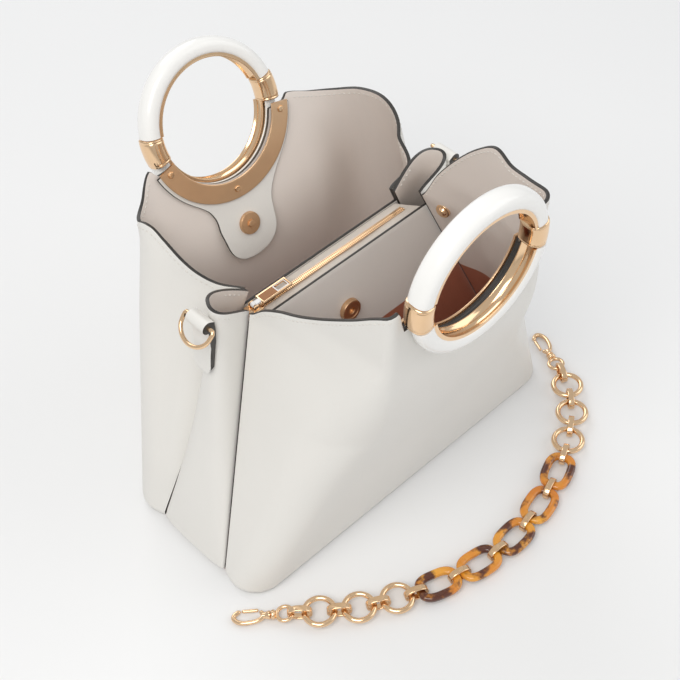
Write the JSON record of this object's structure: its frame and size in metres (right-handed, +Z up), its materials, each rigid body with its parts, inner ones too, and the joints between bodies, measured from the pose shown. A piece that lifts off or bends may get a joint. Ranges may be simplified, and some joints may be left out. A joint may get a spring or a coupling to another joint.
{
  "type": "satchel",
  "caption": "Open-topped winged leather satchel with ring handles, a zipped centre pocket, swelling side gussets and a detached chain strap laid beside it.",
  "frame": {"origin": "middle of the base panel's underside, on the floor", "axes": "+X along the bag's length to its right, -Y to the front panel, +Z up"},
  "size_m": [0.3334, 0.2998, 0.3072],
  "materials": {
    "leather": "smooth off-white calf with dark painted edges",
    "resin": "gloss white",
    "gold": "polished pale rose gold",
    "tortoise": "amber with dark brown spots",
    "tape": "woven white zip tape with gold teeth"
  },
  "bodies": {
    "bag": {"front_panel": "leather", "back_panel": "leather", "gusset_left": "leather", "gusset_right": "leather", "base_panel": "leather", "pocket": "leather", "tongue_front": "leather", "tongue_back": "leather", "dring_tab_left": "leather", "dring_tab_right": "leather", "zip": "tape", "zip_slider": "gold", "tongue_front_snap": "gold", "tongue_back_snap": "gold", "pocket_magnet": "gold", "wing_stud": "gold", "handle_front_grip": "resin", "handle_front_rest": "resin", "handle_front_cuff_right": "gold", "handle_front_cuff_left": "gold", "handle_front_plate": "gold", "handle_back_grip": "resin", "handle_back_rest": "resin", "handle_back_cuff_right": "gold", "handle_back_cuff_left": "gold", "handle_back_plate": "gold", "chain_link_01": "gold", "chain_link_02": "gold", "chain_link_03": "gold", "chain_link_04": "gold", "chain_link_05": "gold", "chain_link_06": "gold", "chain_link_07": "gold", "chain_link_08": "gold", "chain_link_09": "gold", "chain_link_10": "gold", "chain_link_11": "gold", "chain_link_12": "gold", "chain_ring_01": "gold", "chain_ring_02": "gold", "chain_ring_03": "gold", "chain_ring_04": "gold", "chain_ring_05": "gold", "chain_ring_06": "gold", "chain_shell_01": "tortoise", "chain_shell_02": "tortoise", "chain_shell_03": "tortoise", "chain_shell_04": "tortoise", "chain_shell_05": "tortoise", "hook_eye_left": "gold", "hook_eye_right": "gold"},
    "pull": {"zip_pull": "gold"},
    "dring_l": {"dring_left": "gold"},
    "dring_r": {"dring_right": "gold"},
    "hook_l": {"hook_body_left": "gold"},
    "gate_l": {"hook_gate_left": "gold"},
    "hook_r": {"hook_body_right": "gold"},
    "gate_r": {"hook_gate_right": "gold"}
  },
  "joints": [
    {"name": "zip_pull_hinge", "type": "hinge", "parent": "bag", "child": "pull", "pos_m": [-0.06496, 0, 0.18293], "axis": [0, -1, 0], "range_deg": [0, 160]},
    {"name": "dring_left_hinge", "type": "hinge", "parent": "bag", "child": "dring_l", "pos_m": [-0.10559, 0, 0.19887], "axis": [0, 1, 0], "range_deg": [-22, 110]},
    {"name": "dring_right_hinge", "type": "hinge", "parent": "bag", "child": "dring_r", "pos_m": [0.10559, 0, 0.19887], "axis": [0, -1, 0], "range_deg": [-22, 110]},
    {"name": "hook_left_swivel", "type": "hinge", "parent": "bag", "child": "hook_l", "pos_m": [-0.1353, -0.08718, 0.00511], "axis": [-0.7365, 0.6705, -0.0896], "continuous": true},
    {"name": "hook_left_gate", "type": "hinge", "parent": "hook_l", "child": "gate_l", "pos_m": [-0.1462, -0.07171, 0.00345], "axis": [0.0663, -0.0603, -0.996], "range_deg": [-20, 0], "stiffness_Nm_per_rad": 0.01, "springref_deg": 11.46},
    {"name": "hook_right_swivel", "type": "hinge", "parent": "bag", "child": "hook_r", "pos_m": [0.15339, -0.07069, 0.00511], "axis": [0.4082, 0.9085, -0.0896], "continuous": true},
    {"name": "hook_right_gate", "type": "hinge", "parent": "hook_r", "child": "gate_r", "pos_m": [0.15722, -0.05216, 0.00345], "axis": [0.0367, 0.0818, 0.996], "range_deg": [-20, 0], "stiffness_Nm_per_rad": 0.01, "springref_deg": 11.46}
  ]
}
